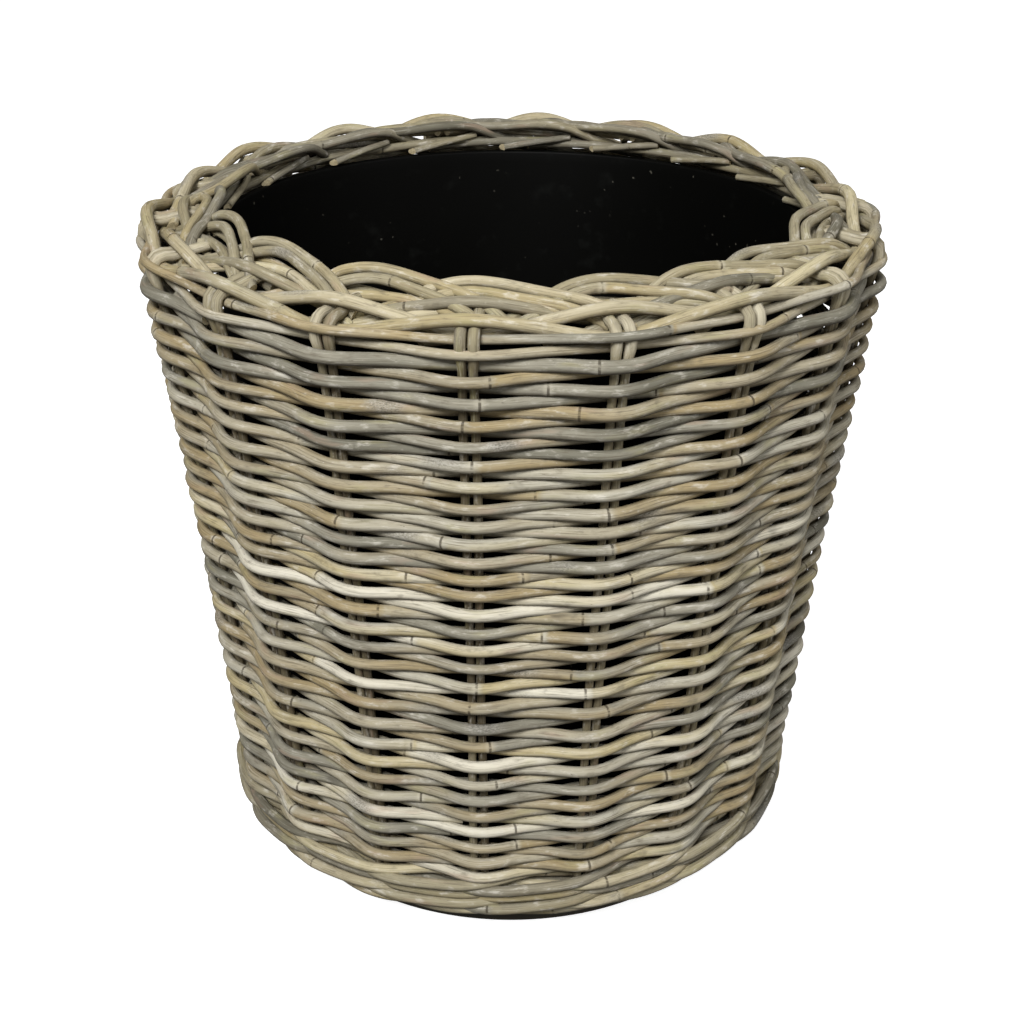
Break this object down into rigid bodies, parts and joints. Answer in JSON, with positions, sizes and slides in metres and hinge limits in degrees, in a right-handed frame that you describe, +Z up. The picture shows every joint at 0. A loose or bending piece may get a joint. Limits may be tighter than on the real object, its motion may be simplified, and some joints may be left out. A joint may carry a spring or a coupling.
{
  "type": "wicker log basket",
  "caption": "Round tapered log basket of plain-woven rattan on paired stakes, with a wide rolled border that holds in a black plastic liner.",
  "frame": {"origin": "middle of the liner's flat foot, which is the middle of the overall box's bottom face", "axes": "+Z up along the basket's axis, from the foot to the mouth; the front faces -Y, and the basket is round, so X and Y are only a reference"},
  "size_m": [0.4986, 0.4978, 0.474],
  "materials": {
    "weaver_rattan": "weathered grey-beige round rattan, satin",
    "stake_rattan": "brown-grey round rattan, satin",
    "border_rattan": "tan and grey thick round rattan, satin",
    "liner_plastic": "black moulded plastic, low sheen"
  },
  "bodies": {
    "root": {"liner": "liner_plastic", "stake_01_left": "stake_rattan", "stake_01_right": "stake_rattan", "stake_02_left": "stake_rattan", "stake_02_right": "stake_rattan", "stake_03_left": "stake_rattan", "stake_03_right": "stake_rattan", "stake_04_left": "stake_rattan", "stake_04_right": "stake_rattan", "stake_05_left": "stake_rattan", "stake_05_right": "stake_rattan", "stake_06_left": "stake_rattan", "stake_06_right": "stake_rattan", "stake_07_left": "stake_rattan", "stake_07_right": "stake_rattan", "stake_08_left": "stake_rattan", "stake_08_right": "stake_rattan", "stake_09_left": "stake_rattan", "stake_09_right": "stake_rattan", "stake_10_left": "stake_rattan", "stake_10_right": "stake_rattan", "stake_11_left": "stake_rattan", "stake_11_right": "stake_rattan", "stake_12_left": "stake_rattan", "stake_12_right": "stake_rattan", "stake_13_left": "stake_rattan", "stake_13_right": "stake_rattan", "stake_14_left": "stake_rattan", "stake_14_right": "stake_rattan", "stake_15_left": "stake_rattan", "stake_15_right": "stake_rattan", "stake_16_left": "stake_rattan", "stake_16_right": "stake_rattan", "stake_17_left": "stake_rattan", "stake_17_right": "stake_rattan", "stake_18_left": "stake_rattan", "stake_18_right": "stake_rattan", "base_wale_lower": "border_rattan", "base_wale_upper": "border_rattan", "weaver_pair_01": "weaver_rattan", "weaver_pair_02": "weaver_rattan", "weaver_pair_03": "weaver_rattan", "weaver_pair_04": "weaver_rattan", "weaver_pair_05": "weaver_rattan", "weaver_pair_06": "weaver_rattan", "weaver_pair_07": "weaver_rattan", "weaver_pair_08": "weaver_rattan", "weaver_pair_09": "weaver_rattan", "weaver_pair_10": "weaver_rattan", "weaver_pair_11": "weaver_rattan", "weaver_pair_12": "weaver_rattan", "weaver_pair_13": "weaver_rattan", "weaver_pair_14": "weaver_rattan", "shoulder_thin_pair": "weaver_rattan", "shoulder_tan_pair": "border_rattan", "shoulder_grey_pair": "border_rattan", "rolled_border": "border_rattan"}
  },
  "joints": []
}
